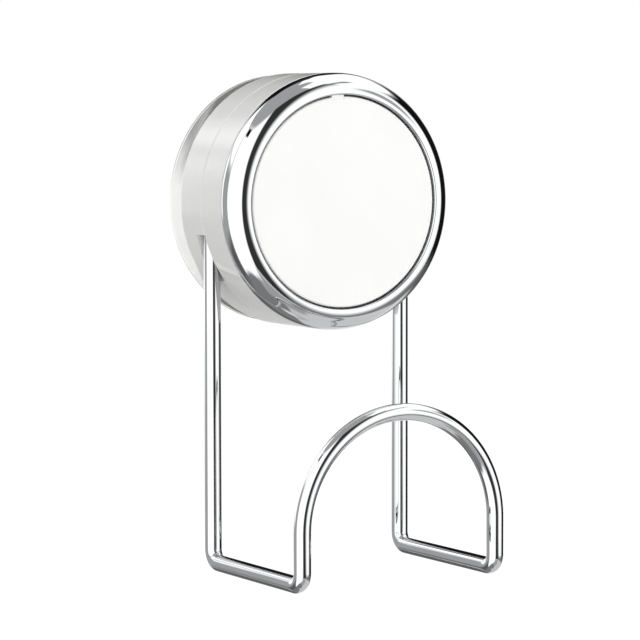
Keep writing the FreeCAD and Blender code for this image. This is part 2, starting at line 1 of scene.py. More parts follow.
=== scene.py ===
"""A twist-lock suction cup hook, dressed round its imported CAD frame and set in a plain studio.

The frame has X to the right, Y into the wall and Z up, in metres. The object's classes hold their
sizes in millimetres and degrees, and every depth is measured forward from the wall's face, towards
-Y. The studio and the camera, which stand round the object, are laid out in metres and degrees.
"""

import logging
import math
from collections.abc import Sequence
from dataclasses import dataclass
from enum import Enum

import bmesh
import bpy
from mathutils import Matrix, Vector


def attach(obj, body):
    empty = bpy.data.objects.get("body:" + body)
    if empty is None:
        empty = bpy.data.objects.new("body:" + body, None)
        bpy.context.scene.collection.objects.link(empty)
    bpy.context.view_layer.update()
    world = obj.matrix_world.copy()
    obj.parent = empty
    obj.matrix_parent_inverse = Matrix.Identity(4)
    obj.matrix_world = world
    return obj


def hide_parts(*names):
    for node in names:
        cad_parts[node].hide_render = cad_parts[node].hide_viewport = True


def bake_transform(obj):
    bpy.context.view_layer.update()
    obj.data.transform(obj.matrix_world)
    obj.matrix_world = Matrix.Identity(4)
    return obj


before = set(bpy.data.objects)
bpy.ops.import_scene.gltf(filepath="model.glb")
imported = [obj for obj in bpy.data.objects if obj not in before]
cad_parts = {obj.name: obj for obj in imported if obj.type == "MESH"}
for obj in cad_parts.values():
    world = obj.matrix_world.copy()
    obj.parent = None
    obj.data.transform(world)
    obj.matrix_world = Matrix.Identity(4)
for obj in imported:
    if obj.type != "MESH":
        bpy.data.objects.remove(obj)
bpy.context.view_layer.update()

LOG = logging.getLogger("suction_cup_hook")
MM = 0.001
FULL_TURN = 360.0
HALF_TURN = 180.0
TOP = 90.0

# The angle between two faces, in degrees, above which their edge stays sharp.
TOOL_CREASE = 30.0
KNOB_CREASE = 35.0
SOFT_CREASE = 40.0
NO_CREASE = 180.0

# How far a cutting or joining form runs past a face, so that no two faces lie in one plane.
OVERRUN = 1.0

# Noise keeps mostly between these two values, so they are where a finish reaches its extremes.
NOISE_LOW = 0.3
NOISE_HIGH = 0.7
PATCH_DETAIL = 3.0
GRAIN_DETAIL = 2.0
SUBSURFACE_MM = 2.0

Corner = tuple[float, float]
Colour = tuple[float, float, float, float]
Materials = dict[str, bpy.types.Material]

AXIS: Corner = (0.0, 0.0)


def linear_colour(code: str) -> Colour:
    """Turn an sRGB hex code into the linear colour that the shaders take.

    Args:
        code: Six hexadecimal digits, such as "F4F4F2".

    Returns:
        Linear red, green, blue and an alpha of one.
    """
    channels = [int(code[place:place + 2], 16) / 255 for place in (0, 2, 4)]
    # The numbers are those of the sRGB curve.
    linear = [c / 12.92 if c <= 0.04045 else ((c + 0.055) / 1.055) ** 2.4 for c in channels]
    return (linear[0], linear[1], linear[2], 1.0)


def grey(value: float) -> Colour:
    """A neutral linear colour."""
    return (value, value, value, 1.0)


def per_metre(size_mm: float) -> float:
    """The texture scale at which one feature measures size_mm, for coordinates in metres."""
    return 1.0 / (size_mm * MM)


def add_node(tree: bpy.types.NodeTree, kind: str, settings: dict[str, object] | None = None,
             inputs: dict[str | int, object] | None = None) -> bpy.types.Node:
    """Add a node and give it its settings, its input values and the links that come into it.

    Args:
        tree: The node tree that gets the node.
        kind: The node's type name.
        settings: Attributes of the node by name.
        inputs: Input sockets by name or number, each with a value or an output socket to link.

    Returns:
        The new node.
    """
    node = tree.nodes.new(kind)
    for name, value in (settings or {}).items():
        setattr(node, name, value)
    for name, value in (inputs or {}).items():
        if isinstance(value, bpy.types.NodeSocket):
            tree.links.new(value, node.inputs[name])
        else:
            node.inputs[name].default_value = value
    return node


def empty_tree(owner: bpy.types.Material | bpy.types.World) -> bpy.types.NodeTree:
    """Turn on a material's or a world's nodes and clear them.

    Args:
        owner: The material or world.

    Returns:
        Its empty node tree.
    """
    owner.use_nodes = True
    owner.node_tree.nodes.clear()
    return owner.node_tree


def new_material(name: str) -> tuple[bpy.types.Material, bpy.types.NodeTree, bpy.types.Node]:
    """Start a material from an empty tree with an output and a Principled shader.

    Args:
        name: The material's name.

    Returns:
        The material, its tree and its shader.
    """
    material = bpy.data.materials.new(name)
    tree = empty_tree(material)
    shader = add_node(tree, "ShaderNodeBsdfPrincipled")
    add_node(tree, "ShaderNodeOutputMaterial", inputs={"Surface": shader.outputs["BSDF"]})
    return material, tree, shader


@dataclass(frozen=True)
class Finish:
    """A real material with the surface that its making gave it.

    The colour and the shade are sRGB codes, gloss_low and gloss_high are roughness, and the sizes
    of the patches and of the grain are in millimetres.
    """

    name: str
    slot: str
    colour: str
    shade: str
    metallic: float
    ior: float
    gloss_low: float
    gloss_high: float
    patch_mm: float
    grain_mm: float
    grain_height_mm: float
    subsurface: float = 0.0
    clear: float = 0.0
    coat: float = 0.0

    def material(self) -> bpy.types.Material:
        """Build the node tree: broad colour patches, uneven gloss and a fine grain as bump.

        Returns:
            The finished material.
        """
        material, tree, shader = new_material(self.name)
        place = add_node(tree, "ShaderNodeTexCoord").outputs["Object"]
        patches = add_node(tree, "ShaderNodeTexNoise", inputs={
            "Vector": place, "Scale": per_metre(self.patch_mm), "Detail": PATCH_DETAIL})
        ramp = add_node(tree, "ShaderNodeValToRGB", inputs={"Fac": patches.outputs["Fac"]})
        stops = ((NOISE_LOW, self.shade), (NOISE_HIGH, self.colour))
        for element, (level, code) in zip(ramp.color_ramp.elements, stops):
            element.position = level
            element.color = linear_colour(code)
        gloss = add_node(tree, "ShaderNodeMapRange", inputs={
            "Value": patches.outputs["Fac"], "From Min": NOISE_LOW, "From Max": NOISE_HIGH,
            "To Min": self.gloss_low, "To Max": self.gloss_high})
        grain = add_node(tree, "ShaderNodeTexNoise", inputs={
            "Vector": place, "Scale": per_metre(self.grain_mm), "Detail": GRAIN_DETAIL})
        bump = add_node(tree, "ShaderNodeBump", inputs={
            "Height": grain.outputs["Fac"], "Distance": self.grain_height_mm * MM, "Strength": 1.0})
        tree.links.new(ramp.outputs["Color"], shader.inputs["Base Color"])
        tree.links.new(gloss.outputs["Result"], shader.inputs["Roughness"])
        tree.links.new(bump.outputs["Normal"], shader.inputs["Normal"])
        levels = {
            "Metallic": self.metallic, "IOR": self.ior, "Subsurface Weight": self.subsurface,
            "Subsurface Scale": SUBSURFACE_MM * MM, "Transmission Weight": self.clear,
            "Coat Weight": self.coat, "Coat Roughness": self.gloss_low}
        for name, value in levels.items():
            shader.inputs[name].default_value = value
        return material


# The grain of the painted-shade floor's ABS, the zinc and the acetal is really about 0.1 mm wide,
# finer than a pixel, so theirs is drawn three to six times as coarse, to show.

# ABS injected into a polished mould: a clean white with a soft gloss, very faintly uneven where
# the melt cooled against the tool.
WHITE_ABS = Finish(
    "moulded_white_abs", "white_abs", "F4F4F3", "F1F1F0", metallic=0.0, ior=1.54,
    gloss_low=0.11, gloss_high=0.16, patch_mm=14.0, grain_mm=1.1, grain_height_mm=0.0006)
# Painted shade: the same moulding as the knob's, its floor under the disc given a plain dull dark
# grey so that the disc's gap reads dark.
PAINTED_SHADE_FLOOR = Finish(
    "painted_shade_floor_abs", "chromed_abs", "48494C", "404145", metallic=0.0, ior=1.54,
    gloss_low=0.5, gloss_high=0.6, patch_mm=6.0, grain_mm=0.5, grain_height_mm=0.003)
# Bright nickel and chromium plated on moulded ABS: a clear cold mirror with the least waviness
# from the plastic below.
CHROMED_ABS = Finish(
    "chrome_plated_abs", "chromed_abs", "CBCCCD", "C6C7C9", metallic=1.0, ior=1.5,
    gloss_low=0.02, gloss_high=0.035, patch_mm=20.0, grain_mm=6.0, grain_height_mm=0.0004)
# The same plate on drawn steel wire, a little less even than on the moulding.
CHROMED_WIRE = Finish(
    "chrome_plated_steel_wire", "chromed_wire", "CACBCC", "C4C5C7", metallic=1.0, ior=1.5,
    gloss_low=0.025, gloss_high=0.05, patch_mm=12.0, grain_mm=5.0, grain_height_mm=0.00015)
# Half clear PVC from a polished mould: soft, faintly milky and almost lost against a white
# backdrop. The index is far below PVC's own 1.53, which made the closed form carry the dark of the
# housing's inside out to its edge. A coat gives back the gloss that the low index takes away.
SOFT_PVC = Finish(
    "moulded_soft_pvc", "soft_pvc", "FEFEFD", "FBFBFA", metallic=0.0, ior=1.08,
    gloss_low=0.06, gloss_high=0.12, patch_mm=9.0, grain_mm=1.6, grain_height_mm=0.002,
    clear=0.93, coat=1.0)
# Zinc plated steel with a clear passivation: a grey metal with a satin, slightly mottled look.
ZINC_STEEL = Finish(
    "zinc_plated_steel", "plated_steel", "B9BDC0", "A6ABB0", metallic=1.0, ior=1.5,
    gloss_low=0.25, gloss_high=0.42, patch_mm=2.5, grain_mm=0.35, grain_height_mm=0.004)
# Natural acetal, moulded or turned: a warm white with a waxy satin surface.
ACETAL = Finish(
    "natural_acetal", "white_acetal", "EDEBE3", "E6E3DA", metallic=0.0, ior=1.48,
    gloss_low=0.4, gloss_high=0.5, patch_mm=8.0, grain_mm=0.6, grain_height_mm=0.003,
    subsurface=0.15)


def arc(centre: Corner, radius: float, start: float, end: float, steps: int) -> list[Corner]:
    """Points along an arc in the plane of a profile or an outline.

    Args:
        centre: The arc's centre.
        radius: The arc's radius.
        start: The first direction, in degrees.
        end: The last direction, in degrees.
        steps: How many chords the arc has.

    Returns:
        The points from start to end, both included.
    """
    turns = [math.radians(start + (end - start) * step / steps) for step in range(steps + 1)]
    across, along = centre
    return [(across + radius * math.cos(turn), along + radius * math.sin(turn)) for turn in turns]


def circle(centre: Corner, radius: float, sides: int) -> list[Corner]:
    """Points once round a circle.

    Args:
        centre: The circle's centre.
        radius: The circle's radius.
        sides: How many chords the circle has.

    Returns:
        One point for each side, from the right and up.
    """
    return arc(centre, radius, 0.0, FULL_TURN * (sides - 1) / sides, sides - 1)


def places_round(radius: float, count: int) -> list[Corner]:
    """Places spread evenly round the axis, as (x, z), the first straight above it.

    Args:
        radius: How far from the axis they are.
        count: How many there are.

    Returns:
        The places in order.
    """
    turns = [math.radians(TOP + FULL_TURN * place / count) for place in range(count)]
    return [(radius * math.cos(turn), radius * math.sin(turn)) for turn in turns]


def in_metres(across: float, depth: float, height: float) -> tuple[float, float, float]:
    """A place in the frame, from millimetres across, forward of the wall and up."""
    return (across * MM, -depth * MM, height * MM)


def add_object(name: str, data: bpy.types.ID) -> bpy.types.Object:
    """Make an object and link it to the scene.

    Args:
        name: The object's name.
        data: Its mesh, lamp or camera.

    Returns:
        The new object.
    """
    obj = bpy.data.objects.new(name, data)
    bpy.context.scene.collection.objects.link(obj)
    return obj


def finished(name: str, form: bmesh.types.BMesh, crease: float) -> bpy.types.Object:
    """Turn a form into a smooth object with sharp edges where its faces meet steeply.

    Args:
        name: The object's name.
        form: The form in metres, which is freed.
        crease: The angle in degrees above which an edge stays sharp.

    Returns:
        The new object, linked to the scene.
    """
    bmesh.ops.recalc_face_normals(form, faces=form.faces)
    mesh = bpy.data.meshes.new(name)
    form.to_mesh(mesh)
    form.free()
    mesh.shade_smooth()
    mesh.set_sharp_from_angle(angle=math.radians(crease))
    return add_object(name, mesh)


def turned(name: str, profile: Sequence[Corner], steps: int, crease: float) -> bpy.types.Object:
    """Turn a closed profile of (radius, depth) points in millimetres round the cup's axis.

    Args:
        name: The object's name.
        profile: The points in order round the section; a radius of zero is on the axis.
        steps: How many faces go round the axis.
        crease: The angle in degrees above which an edge stays sharp.

    Returns:
        The new object.
    """
    form = bmesh.new()
    rings: list[list[bmesh.types.BMVert]] = []
    for radius, depth in profile:
        ring = []
        for step in range(steps if radius > 0 else 1):
            turn = math.tau * step / steps
            spot = in_metres(radius * math.cos(turn), depth, radius * math.sin(turn))
            ring.append(form.verts.new(spot))
        rings.append(ring)
    for ring, after in zip(rings, rings[1:] + rings[:1]):
        if len(ring) == len(after) == 1:
            continue
        for step in range(steps):
            corners = [ring[step % len(ring)], ring[(step + 1) % len(ring)],
                       after[(step + 1) % len(after)], after[step % len(after)]]
            form.faces.new(list(dict.fromkeys(corners)))
    return finished(name, form, crease)


def prism(name: str, outline: Sequence[Corner], rear: float, front: float) -> bpy.types.Object:
    """Raise a closed outline of (x, z) points in millimetres from one depth to another.

    Args:
        name: The object's name.
        outline: The points in order.
        rear: The depth of the rear face.
        front: The depth of the front face.

    Returns:
        The new object.
    """
    form = bmesh.new()
    back = [form.verts.new(in_metres(x, rear, z)) for x, z in outline]
    face = [form.verts.new(in_metres(x, front, z)) for x, z in outline]
    form.faces.new(back)
    form.faces.new(face)
    for step in range(len(outline)):
        following = (step + 1) % len(outline)
        form.faces.new((back[step], back[following], face[following], face[step]))
    return finished(name, form, TOOL_CREASE)


class Way(Enum):
    """What a second form does to an object: it is joined on, or cut out."""

    JOIN = "UNION"
    CUT = "DIFFERENCE"


def combine(obj: bpy.types.Object, tool: bpy.types.Object, way: Way) -> None:
    """Join a form on an object or cut it out of it, for good, and remove the form.

    Args:
        obj: The object that changes.
        tool: The closed form.
        way: Whether it is joined on or cut out.
    """
    modifier = obj.modifiers.new(tool.name, "BOOLEAN")
    modifier.operation = way.value
    modifier.solver = "EXACT"
    modifier.object = tool
    graph = bpy.context.evaluated_depsgraph_get()
    mesh = bpy.data.meshes.new_from_object(obj.evaluated_get(graph))
    obj.modifiers.clear()
    obj.data = mesh
    bpy.data.objects.remove(tool)


def dress(obj: bpy.types.Object, finish: Finish, made: Materials) -> None:
    """Give an object one finish, making its material the first time that it is asked for.

    Args:
        obj: The object to dress.
        finish: The finish.
        made: The materials made so far, by name.
    """
    if finish.name not in made:
        made[finish.name] = finish.material()
    obj.data.materials.clear()
    obj.data.materials.append(made[finish.name])


@dataclass
class SuctionCup:
    """The soft cup, whose flared side is the rear edge of the hook and whose boss holds the stud.

    still_radius and drawn_radius, where the skin would stay still and where it would be drawn with
    the stud, are not used.
    """

    lip_radius: float = 30.2
    lip_thick: float = 0.9
    lip_end: float = 60.0
    pad_radius: float = 29.6
    pad_front: float = 6.0
    pad_width: float = 4.4
    pad_end: float = 150.0
    flare_radius: float = 14.0
    land_width: float = 2.2
    hollow: float = 1.6
    web_front: float = 3.8
    web_slope: float = 2.2
    boss_radius: float = 9.15
    boss_front: float = 9.0
    shank_radius: float = 4.15
    pocket_radius: float = 6.65
    pocket_rear: float = 3.25
    pocket_front: float = 5.15
    edge_round: float = 0.35
    still_radius: float = 24.2
    drawn_radius: float = 11.35
    sectors: int = 12
    steps: int = 384
    hollow_steps: int = 24
    lip_steps: int = 12
    flare_steps: int = 16
    rim_steps: int = 6
    edge_steps: int = 5
    root_steps: int = 8

    def bowl(self) -> list[Corner]:
        """The hollow's curve, from the axis out to the inner edge of the land.

        Returns:
            The points in order.
        """
        land_inner = self.lip_radius - self.land_width
        points = []
        for step in range(self.hollow_steps):
            depth = self.hollow * (1 - (step / self.hollow_steps) ** 2)
            points.append((land_inner * step / self.hollow_steps, depth))
        return [*points, (land_inner, 0.0)]

    def flare(self) -> list[Corner]:
        """The hollow curve of the side, from above the lip to the pad, as the CAD arc has it.

        Returns:
            The points in order.
        """
        start = Vector((self.lip_radius - self.lip_thick / 4, self.lip_thick))
        end = Vector((self.pad_radius, self.pad_front))
        chord = end - start
        outward = Vector((chord.y, -chord.x)).normalized()
        rise = math.sqrt(self.flare_radius ** 2 - (chord.length / 2) ** 2)
        centre = (start + end) / 2 + outward * rise
        first = math.degrees(math.atan2(start.y - centre.y, start.x - centre.x)) % FULL_TURN
        last = math.degrees(math.atan2(end.y - centre.y, end.x - centre.x)) % FULL_TURN
        return arc((centre.x, centre.y), self.flare_radius, first, last, self.flare_steps)

    def profile(self) -> list[Corner]:
        """The cup's section, from the middle of its hollow out over the lip and back to the boss.

        Returns:
            The points as (radius, depth), in order.
        """
        lip = self.lip_thick / 2
        soft = self.edge_round
        pad_inner = self.pad_radius - self.pad_width
        pad_level = self.pad_front - soft
        root = self.boss_radius + self.web_slope
        points = self.bowl()
        points += arc((self.lip_radius - lip, lip), lip, -90.0, self.lip_end, self.lip_steps)
        # The flare begins within the lip's round and ends on the pad's sharp corner, so those
        # points are left out.
        points += self.flare()[2:-1]
        points += arc((self.pad_radius - soft, pad_level), soft, 0.0, 90.0, self.rim_steps)
        points += arc((pad_inner + soft, pad_level), soft, 90.0, self.pad_end, self.edge_steps)
        points += [(pad_inner - self.web_slope, self.web_front), (root, self.web_front)]
        points += arc((root, self.web_front + self.web_slope), self.web_slope,
                      -90.0, -180.0, self.root_steps)
        points += arc((self.boss_radius - soft, self.boss_front - soft), soft,
                      0.0, 90.0, self.edge_steps)
        points += [(self.shank_radius, self.boss_front), (self.shank_radius, self.pocket_front),
                   (self.pocket_radius, self.pocket_front), (self.pocket_radius, self.pocket_rear),
                   (0.0, self.pocket_rear)]
        return points

    def sector(self, whole: bpy.types.Mesh, number: int) -> bpy.types.Object:
        """Take one sector of the cup's skin, with the whole cup's normals, so that no seam shows.

        Args:
            whole: The whole cup, whose faces go round the axis in rows of steps.
            number: Which sector, counted from nought.

        Returns:
            The new object.
        """
        corners: dict[int, int] = {}
        faces = []
        normals = []
        for face in whole.polygons:
            if face.index % self.steps * self.sectors // self.steps != number:
                continue
            faces.append([corners.setdefault(vertex, len(corners)) for vertex in face.vertices])
            normals += [whole.corner_normals[loop].vector.copy() for loop in face.loop_indices]
        name = f"soft_cup_sector_{number + 1:02}"
        mesh = bpy.data.meshes.new(name)
        mesh.from_pydata([whole.vertices[vertex].co.copy() for vertex in corners], [], faces)
        mesh.shade_smooth()
        mesh.normals_split_custom_set(normals)
        return add_object(name, mesh)

    def build(self, made: Materials) -> None:
        """Make the cup in sectors cut from one turned form, and dress them.

        Args:
            made: The materials made so far, by name.
        """
        cup = turned("soft_cup", self.profile(), self.steps, SOFT_CREASE)
        for number in range(self.sectors):
            piece = self.sector(cup.data, number)
            dress(piece, SOFT_PVC, made)
            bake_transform(piece)
            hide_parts("suction_cup")
        bpy.data.objects.remove(cup)
        LOG.info("soft cup built in %d sectors", self.sectors)


@dataclass
class WireHook:
    """The one-piece hook: pegs in the housing, uprights, level arms, front uprights and an arch.

    The drop is how far the arms lie below the cup's axis, and arch_height is the height of the
    arch's foot, both taken at the wire's centre line.
    """

    wire_radius: float = 2.0
    side: float = 26.45
    rear_depth: float = 14.4
    front_depth: float = 56.2
    drop: float = 86.1
    arch_height: float = -74.15
    bend: float = 3.2
    peg_end: float = 17.25
    sides: int = 48
    bend_steps: int = 18
    arch_steps: int = 96
    run_step: float = 4.0

    def corner(self, centre: Vector, first: Vector, second: Vector) -> list[Vector]:
        """A quarter bend about centre.

        Args:
            centre: The bend's centre.
            first: The direction from the centre to the bend's start.
            second: The direction from the centre to the bend's end.

        Returns:
            The points in order, both ends included.
        """
        turns = [math.pi / 2 * step / self.bend_steps for step in range(self.bend_steps + 1)]
        ways = [first * math.cos(turn) + second * math.sin(turn) for turn in turns]
        return [centre + way * self.bend for way in ways]

    def half_path(self) -> list[Vector]:
        """The wire's centre line on the right side, from its peg to the foot of the arch.

        Returns:
            The points in order, in millimetres.
        """
        right, forward, up = Vector((1, 0, 0)), Vector((0, -1, 0)), Vector((0, 0, 1))
        rear = right * self.side + forward * self.rear_depth
        front = right * self.side + forward * self.front_depth
        low = up * (self.bend - self.drop)
        points = [right * self.peg_end + forward * self.rear_depth]
        points += self.corner(rear - (right + up) * self.bend, up, right)
        points += self.corner(rear + forward * self.bend + low, -forward, -up)
        points += self.corner(front - forward * self.bend + low, -up, forward)
        points.append(front + up * self.arch_height)
        return points

    def path(self) -> list[Vector]:
        """The whole centre line from the right peg to the left one, with its long runs divided.

        Returns:
            The points in order, in millimetres.
        """
        half = self.half_path()
        mirror = Matrix.Diagonal((-1, 1, 1))
        foot = half[-1]
        top = []
        for step in range(1, self.arch_steps):
            turn = math.pi * step / self.arch_steps
            across, rise = self.side * math.cos(turn), self.side * math.sin(turn)
            top.append(Vector((across, foot.y, foot.z + rise)))
        corners = half + top + [mirror @ point for point in reversed(half)]
        points = [corners[0]]
        for start, end in zip(corners, corners[1:]):
            count = max(1, round((end - start).length / self.run_step))
            points += [start.lerp(end, step / count) for step in range(1, count + 1)]
        return points

    def sweep(self) -> bmesh.types.BMesh:
        """Sweep the wire's round section along its path and close its ends.

        Returns:
            The wire's form, in metres.
        """
        points = self.path()
        form = bmesh.new()
        side_way = Vector((0, 0, 1))
        rings: list[list[bmesh.types.BMVert]] = []
        for index, point in enumerate(points):
            ahead = points[min(index + 1, len(points) - 1)] - points[max(index - 1, 0)]
            ahead.normalize()
            side_way = (side_way - ahead * side_way.dot(ahead)).normalized()
            across = ahead.cross(side_way)
            ring = []
            for step in range(self.sides):
                turn = math.tau * step / self.sides
                way = side_way * math.cos(turn) + across * math.sin(turn)
                ring.append(form.verts.new((point + way * self.wire_radius) * MM))
            rings.append(ring)
        for ring, after in zip(rings, rings[1:]):
            for step in range(self.sides):
                following = (step + 1) % self.sides
                form.faces.new((ring[step], ring[following], after[following], after[step]))
        form.faces.new(rings[0])
        form.faces.new(rings[-1])
        return form

    def build(self, made: Materials) -> None:
        """Make the wire and dress it.

        Args:
            made: The materials made so far, by name.
        """
        wire = finished("bent_wire", self.sweep(), SOFT_CREASE)
        dress(wire, CHROMED_WIRE, made)
        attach(wire, "housing")
        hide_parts("wire_hook")
        LOG.info("wire hook built")


@dataclass
class KnobRing:
    """The chromed knob: a domed ring round a floor in painted shade, with the nut's socket and the
    holes.

    The boss, the socket and the holes are given by their radii, and socket_half is half the width
    between the socket's two flats.
    """

    radius: float = 30.6
    rear: float = 26.3
    front: float = 31.9
    land: float = 0.9
    dome: float = 4.7
    lip: float = 25.45
    lip_round: float = 0.42
    rear_round: float = 0.3
    wall: float = 2.0
    floor_rear: float = 28.4
    floor_front: float = 29.9
    floor_slack: float = 0.01
    boss: float = 10.93
    boss_sink: float = 0.42
    socket: float = 8.93
    socket_half: float = 7.78
    peg_circle: float = 18.0
    peg_hole: float = 1.3
    screw_circle: float = 6.2
    screw_hole: float = 1.1
    screw_head: float = 1.9
    hole_count: int = 3
    steps: int = 360
    rear_steps: int = 5
    dome_steps: int = 48
    lip_steps: int = 6
    socket_steps: int = 24
    boss_sides: int = 64
    hole_sides: int = 24

    def profile(self) -> list[Corner]:
        """The ring's section, from the middle of the floor's rear out over the dome and back.

        Returns:
            The points as (radius, depth), in order.
        """
        inner = self.radius - self.wall
        rear, lip = self.rear_round, self.lip_round
        points = [(0.0, self.floor_rear), (inner, self.floor_rear), (inner, self.rear)]
        points += arc((self.radius - rear, self.rear + rear), rear, -90.0, 0.0, self.rear_steps)
        points += arc((self.radius - self.dome, self.rear + self.land), self.dome,
                      0.0, 90.0, self.dome_steps)
        points += arc((self.lip + lip, self.front - lip), lip, 90.0, 180.0, self.lip_steps)
        points += [(self.lip, self.floor_front), (0.0, self.floor_front)]
        return points

    def socket_outline(self) -> list[Corner]:
        """The round of the nut's socket with its two upright flats.

        Returns:
            The points as (x, z), in order.
        """
        rise = math.degrees(math.acos(self.socket_half / self.socket))
        upper = arc(AXIS, self.socket, rise, HALF_TURN - rise, self.socket_steps)
        lower = arc(AXIS, self.socket, HALF_TURN + rise, FULL_TURN - rise, self.socket_steps)
        return upper + lower

    def cut_holes(self, ring: bpy.types.Object) -> None:
        """Cut the holes of the disc's pegs and of the screws, with a seat for each screw's head.

        Args:
            ring: The knob, whose floor gets the holes.
        """
        front = self.floor_front + OVERRUN
        through = (self.floor_rear - OVERRUN, front)
        seat = (self.floor_front - (self.screw_head - self.screw_hole), front)
        pegs = places_round(self.peg_circle, self.hole_count)
        screws = places_round(self.screw_circle, self.hole_count)
        for peg, screw in zip(pegs, screws):
            for name, place, radius, depths in (("peg_hole", peg, self.peg_hole, through),
                                                ("screw_hole", screw, self.screw_hole, through),
                                                ("screw_seat", screw, self.screw_head, seat)):
                outline = circle(place, radius, self.hole_sides)
                combine(ring, prism(name, outline, *depths), Way.CUT)

    def paint_gap_shade(self, ring: bpy.types.Object, made: Materials) -> None:
        """Give the floor under the disc a painted shade of dull dark grey, which keeps the disc's
        gap dark.

        Args:
            ring: The finished knob.
            made: The materials made so far, by name.
        """
        # Painted shade: the faces of the floor under the disc get a dull dark grey.
        made[PAINTED_SHADE_FLOOR.name] = PAINTED_SHADE_FLOOR.material()
        ring.data.materials.append(made[PAINTED_SHADE_FLOOR.name])
        shade_index = len(ring.data.materials) - 1
        level = -self.floor_front * MM
        for face in ring.data.polygons:
            if abs(face.center.y - level) < self.floor_slack * MM:
                face.material_index = shade_index

    def build(self, made: Materials) -> None:
        """Make the knob, cut its socket and holes, and dress it.

        Args:
            made: The materials made so far, by name.
        """
        ring = turned("knob_ring", self.profile(), self.steps, KNOB_CREASE)
        boss = prism("socket_boss", circle(AXIS, self.boss, self.boss_sides), self.rear,
                     self.floor_rear + self.boss_sink)
        combine(ring, boss, Way.JOIN)
        socket = prism("nut_socket", self.socket_outline(), self.rear - OVERRUN, self.floor_rear)
        combine(ring, socket, Way.CUT)
        self.cut_holes(ring)
        ring.data.set_sharp_from_angle(angle=math.radians(KNOB_CREASE))
        dress(ring, CHROMED_ABS, made)
        self.paint_gap_shade(ring, made)
        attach(ring, "knob")
        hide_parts("knob_shell")
        LOG.info("knob ring built")


@dataclass
class FaceDisc:
    """The plain white disc in the knob's recess, with pegs on its back and a key at its edge.

    The key reaches from key_land inside the disc's edge to key_reach, its face lies key_step behind
    the disc's, and key_middle and key_angle are its direction and its width in degrees.
    """

    radius: float = 25.0
    rear: float = 29.9
    front: float = 31.5
    edge_round: float = 0.45
    peg_circle: float = 18.0
    peg_radius: float = 1.2
    peg_length: float = 1.3
    peg_sink: float = 0.5
    peg_count: int = 3
    key_reach: float = 25.4
    key_land: float = 0.6
    key_lift: float = 0.01
    key_step: float = 0.25
    key_middle: float = 93.8
    key_angle: float = 7.5
    step_margin: float = 0.05
    steps: int = 360
    edge_steps: int = 8
    key_steps: int = 8
    peg_sides: int = 24

    def key_outline(self, margin: float) -> list[Corner]:
        """The key's outline: a short piece of a ring that fills the gap beside the disc.

        Args:
            margin: How far the outline stands out past the key.

        Returns:
            The points in order.
        """
        spread = self.key_angle / 2 + math.degrees(margin / self.radius)
        first, last = self.key_middle - spread, self.key_middle + spread
        inner = self.radius - self.key_land - margin
        return (arc(AXIS, self.key_reach + margin, first, last, self.key_steps)
                + arc(AXIS, inner, last, first, self.key_steps))

    def profile(self) -> list[Corner]:
        """The disc's section, with its soft front edge.

        Returns:
            The points as (radius, depth), in order.
        """
        corner = (self.radius - self.edge_round, self.front - self.edge_round)
        edge = arc(corner, self.edge_round, 0.0, 90.0, self.edge_steps)
        return [(0.0, self.rear), (self.radius, self.rear), *edge, (0.0, self.front)]

    def build(self, made: Materials) -> None:
        """Make the disc with its pegs and its key, and dress it.

        Args:
            made: The materials made so far, by name.
        """
        disc = turned("white_face_disc", self.profile(), self.steps, KNOB_CREASE)
        for place in places_round(self.peg_circle, self.peg_count):
            outline = circle(place, self.peg_radius, self.peg_sides)
            peg = prism("peg", outline, self.rear - self.peg_length, self.rear + self.peg_sink)
            combine(disc, peg, Way.JOIN)
        key = prism("key", self.key_outline(0.0), self.rear + self.key_lift, self.front + OVERRUN)
        combine(disc, key, Way.JOIN)
        step = prism("key_step", self.key_outline(self.step_margin), self.front - self.key_step,
                     self.front + 2 * OVERRUN)
        combine(disc, step, Way.CUT)
        disc.data.set_sharp_from_angle(angle=math.radians(KNOB_CREASE))
        dress(disc, WHITE_ABS, made)
        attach(disc, "knob")
        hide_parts("face_disc")
        LOG.info("face disc built")


@dataclass
class CarriedParts:
    """The CAD parts whose shape is right as it is, each with the finish of the real one."""

    finishes: tuple[tuple[str, Finish], ...] = (
        ("rear_housing", WHITE_ABS),
        ("front_housing", WHITE_ABS),
        ("cup_stud", ZINC_STEEL),
        ("housing_screws", ZINC_STEEL),
        ("knob_screws", ZINC_STEEL),
        ("thrust_washer", ACETAL),
        ("drive_nut", ACETAL),
    )

    def build(self, made: Materials) -> None:
        """Dress each carried part.

        Args:
            made: The materials made so far, by name.
        """
        for node, finish in self.finishes:
            dress(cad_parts[node], finish, made)
            LOG.info("%s dressed in %s", node, finish.name)


class Tone(Enum):
    """How bright each card of the studio is, as a multiple of plain white."""

    BLACK = 0.01
    DARK = 0.05
    CHARCOAL = 0.16
    SHADE = 0.31
    GREY = 0.55
    PALE = 0.9
    WHITE = 1.8
    BRIGHT = 2.0


class Outline(Enum):
    """The outline of a card."""

    SQUARE = "square"
    ROUND = "round"


class SeenIn(Enum):
    """What shows a card: polished surfaces, or the clear cup that lies in front of it."""

    MIRRORS = "mirrors"
    CLEAR_CUP = "clear cup"


@dataclass(frozen=True)
class Card:
    """A softbox, flag or grey card round the object, by its directions from the camera's back.

    The edges left, right, low and high are in degrees, as is the feather over which they fade. A
    card of a higher layer stands nearer to the object, in front of the lower ones.
    """

    name: str
    tone: Tone
    left: float
    right: float
    low: float
    high: float
    layer: int = 0
    feather: float = 3.0
    outline: Outline = Outline.SQUARE
    seen_in: SeenIn = SeenIn.MIRRORS


@dataclass(frozen=True)
class Lamp:
    """A square soft lamp that faces the object, by its direction from the camera's back.

    The azimuth and the elevation are in degrees, and the distance and the side in metres.
    """

    name: str
    azimuth: float
    elevation: float
    distance: float
    side: float
    watts: float


